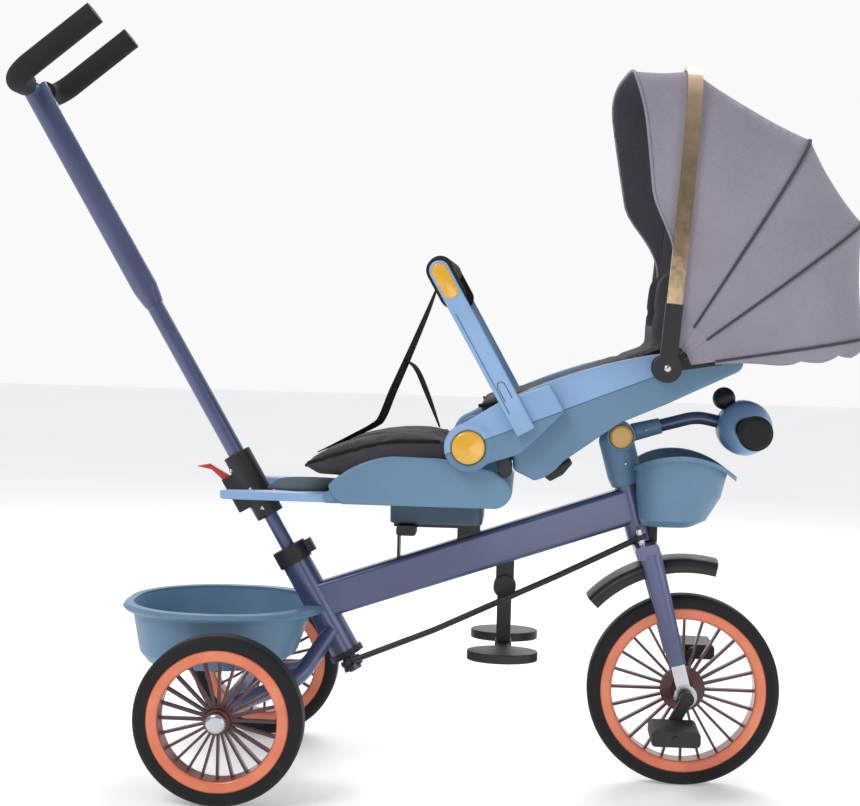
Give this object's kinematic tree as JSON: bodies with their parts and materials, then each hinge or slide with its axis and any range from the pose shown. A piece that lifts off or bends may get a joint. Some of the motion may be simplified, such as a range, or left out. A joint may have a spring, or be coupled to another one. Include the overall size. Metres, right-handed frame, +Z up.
{
  "type": "children's tricycle",
  "caption": "Push tricycle for a small child: reclining padded seat under a folding canopy, guard ring, parent's steering bar, pedals, footrest and luggage baskets.",
  "frame": {"origin": "on the floor under the middle of the bounding box", "axes": "+X towards the front wheel, +Y to the rider's left when facing the direction of travel, +Z up"},
  "size_m": [1.1214, 0.47, 1.0052],
  "materials": {
    "tyre_black": "solid rubber-like tyre with a fine moulded grain",
    "wheel_orange": "salmon-orange moulded rim with dark red blade spokes and hub",
    "frame_violet": "dusky blue-violet metallic paint",
    "bearing_black": "fine-grained black moulding",
    "blue_plastic": "steel-blue moulded plastic",
    "light_blue_plastic": "light blue moulded plastic",
    "grey_plastic": "dark blue-grey moulded plastic",
    "plated": "bright plated steel",
    "button_yellow": "glossy yellow button",
    "button_orange": "amber button",
    "lever_red": "glossy red lever",
    "fabric_dark": "charcoal woven fabric with dark piping",
    "fabric_canopy": "grey heather canopy cloth",
    "foam_black": "black foam grip",
    "bow_gold": "champagne-coloured bow"
  },
  "bodies": {
    "frame": {"main_beam": "frame_violet", "head_tube": "frame_violet", "column_sleeve": "frame_violet", "rear_frame": "frame_violet", "rear_axle": "plated", "beam_brackets": "bearing_black", "bearing_collars": "bearing_black", "rear_basket": "blue_plastic"},
    "rear_left_roller": {"rear_left_tyre": "tyre_black", "rear_left_wheel": "wheel_orange"},
    "rear_right_roller": {"rear_right_tyre": "tyre_black", "rear_right_wheel": "wheel_orange"},
    "steering_head": {"fork": "frame_violet", "fork_fittings": "plated", "front_fender": "bearing_black", "head_cover": "blue_plastic", "stem_socket": "bearing_black", "stem_tube": "frame_violet", "handlebar_hub": "light_blue_plastic", "handlebar_grips": "foam_black", "front_basket": "blue_plastic"},
    "stem_button_body": {"stem_button": "button_orange"},
    "front_roller": {"front_tyre": "tyre_black", "front_wheel": "wheel_orange", "crank_axle": "plated"},
    "right_pedal": {"pedal_right": "bearing_black"},
    "left_pedal": {"pedal_left": "bearing_black"},
    "column": {"steering_column": "plated", "column_arm": "bearing_black"},
    "push_bar": {"bar_clamp": "bearing_black", "push_pole": "frame_violet", "push_upper_tube": "frame_violet", "push_grips": "foam_black"},
    "quick_lever": {"clamp_lever": "lever_red"},
    "tie_rod": {"steering_rod": "bearing_black"},
    "seat": {"seat_base": "grey_plastic", "seat_shell": "light_blue_plastic", "seat_cushion": "fabric_dark"},
    "seat_latch": {"seat_release": "bearing_black"},
    "right_recline_button": {"recline_button_right": "button_yellow"},
    "left_recline_button": {"recline_button_left": "button_yellow"},
    "calf_rest": {"leg_rest": "light_blue_plastic"},
    "backrest": {"back_shell": "blue_plastic", "back_cushions": "fabric_dark", "guard_ring": "light_blue_plastic", "guard_pad": "fabric_dark", "canopy_base": "bearing_black", "crotch_strap": "fabric_dark"},
    "right_guard_button": {"guard_button_right": "button_yellow"},
    "left_guard_button": {"guard_button_left": "button_yellow"},
    "canopy_middle": {"canopy_rib_middle": "bearing_black", "canopy_gore_rear": "fabric_canopy"},
    "canopy_upper": {"canopy_rib_upper": "bearing_black", "canopy_gore_middle": "fabric_canopy"},
    "canopy_front": {"canopy_bow": "bow_gold", "bow_sockets": "bearing_black", "canopy_visor": "fabric_canopy", "canopy_gore_top": "fabric_canopy"},
    "footrest": {"footrest_post": "bearing_black", "foot_plates": "bearing_black"}
  },
  "joints": [
    {"name": "rear_left_spin", "type": "hinge", "parent": "frame", "child": "rear_left_roller", "pos_m": [-0.2446, 0.205, 0.107], "axis": [0, 1, 0], "continuous": true},
    {"name": "rear_right_spin", "type": "hinge", "parent": "frame", "child": "rear_right_roller", "pos_m": [-0.2446, -0.205, 0.107], "axis": [0, 1, 0], "continuous": true},
    {"name": "fork_steer", "type": "hinge", "parent": "frame", "child": "steering_head", "pos_m": [0.27492, 0, 0.35702], "axis": [-0.2656, 0, 0.9641], "range_deg": [-28, 28]},
    {"name": "stem_button_press", "type": "slide", "parent": "steering_head", "child": "stem_button_body", "axis": [0, 1, 0], "range_m": [0, 0.003], "stiffness_N_per_m": 300},
    {"name": "front_spin", "type": "hinge", "parent": "steering_head", "child": "front_roller", "pos_m": [0.3454, 0, 0.1275], "axis": [0, 1, 0], "continuous": true},
    {"name": "right_pedal_spin", "type": "hinge", "parent": "front_roller", "child": "right_pedal", "pos_m": [0.32662, -0.074, 0.09218], "axis": [0, 1, 0], "continuous": true},
    {"name": "left_pedal_spin", "type": "hinge", "parent": "front_roller", "child": "left_pedal", "pos_m": [0.36418, 0.074, 0.16282], "axis": [0, 1, 0], "continuous": true},
    {"name": "column_steer", "type": "hinge", "parent": "frame", "child": "column", "pos_m": [-0.13846, 0, 0.21425], "axis": [-0.506, 0, 0.8625], "range_deg": [-29, 29]},
    {"name": "push_bar_slide", "type": "slide", "parent": "column", "child": "push_bar", "axis": [-0.506, 0, 0.8625], "range_m": [-0.04, 0.06]},
    {"name": "quick_lever_turn", "type": "hinge", "parent": "push_bar", "child": "quick_lever", "pos_m": [-0.26144, 0, 0.3705], "axis": [0, -1, 0], "range_deg": [0, 60]},
    {"name": "tie_rod_turn", "type": "hinge", "parent": "column", "child": "tie_rod", "pos_m": [-0.10203, -0.035, 0.15215], "axis": [-0.506, 0, 0.8625], "range_deg": [-29, 29]},
    {"name": "seat_turn", "type": "hinge", "parent": "frame", "child": "seat", "pos_m": [0.0124, 0, 0.3423], "axis": [0, 0, 1], "range_deg": [-6, 6]},
    {"name": "seat_latch_pull", "type": "slide", "parent": "seat", "child": "seat_latch", "axis": [0, -1, 0], "range_m": [0, 0.006], "stiffness_N_per_m": 300},
    {"name": "right_recline_press", "type": "slide", "parent": "backrest", "child": "right_recline_button", "axis": [0, 1, 0], "range_m": [0, 0.004], "stiffness_N_per_m": 300},
    {"name": "left_recline_press", "type": "slide", "parent": "backrest", "child": "left_recline_button", "axis": [0, -1, 0], "range_m": [0, 0.004], "stiffness_N_per_m": 300},
    {"name": "calf_rest_fold", "type": "hinge", "parent": "seat", "child": "calf_rest", "pos_m": [-0.1246, 0, 0.3795], "axis": [0, -1, 0], "range_deg": [0, 50]},
    {"name": "back_recline", "type": "hinge", "parent": "seat", "child": "backrest", "pos_m": [0.0554, 0, 0.452], "axis": [0, -1, 0], "range_deg": [0, 50], "deforming": ["crotch_strap"]},
    {"name": "right_guard_press", "type": "slide", "parent": "backrest", "child": "right_guard_button", "axis": [0, 1, 0], "range_m": [0, 0.0025], "stiffness_N_per_m": 300},
    {"name": "left_guard_press", "type": "slide", "parent": "backrest", "child": "left_guard_button", "axis": [0, -1, 0], "range_m": [0, 0.0025], "stiffness_N_per_m": 300},
    {"name": "canopy_fold_middle", "type": "hinge", "parent": "backrest", "child": "canopy_middle", "pos_m": [0.2994, 0, 0.559], "axis": [0, 1, 0], "range_deg": [0, 16], "deforming": ["canopy_gore_rear"]},
    {"name": "canopy_fold_upper", "type": "hinge", "parent": "canopy_middle", "child": "canopy_upper", "pos_m": [0.2994, 0, 0.559], "axis": [0, 1, 0], "range_deg": [0, 12], "deforming": ["canopy_gore_middle"]},
    {"name": "canopy_fold_front", "type": "hinge", "parent": "canopy_upper", "child": "canopy_front", "pos_m": [0.2994, 0, 0.559], "axis": [0, 1, 0], "range_deg": [0, 17], "deforming": ["canopy_gore_top"]},
    {"name": "footrest_fold", "type": "hinge", "parent": "frame", "child": "footrest", "pos_m": [0.1044, 0, 0.257], "axis": [0, -1, 0], "range_deg": [0, 75]}
  ],
  "couplings": [
    {"joint": "column_steer", "follows": "fork_steer", "ratio": 1},
    {"joint": "tie_rod_turn", "follows": "fork_steer", "ratio": -1},
    {"joint": "canopy_fold_upper", "follows": "canopy_fold_middle", "ratio": 0.7125},
    {"joint": "canopy_fold_front", "follows": "canopy_fold_middle", "ratio": 1.0375}
  ]
}
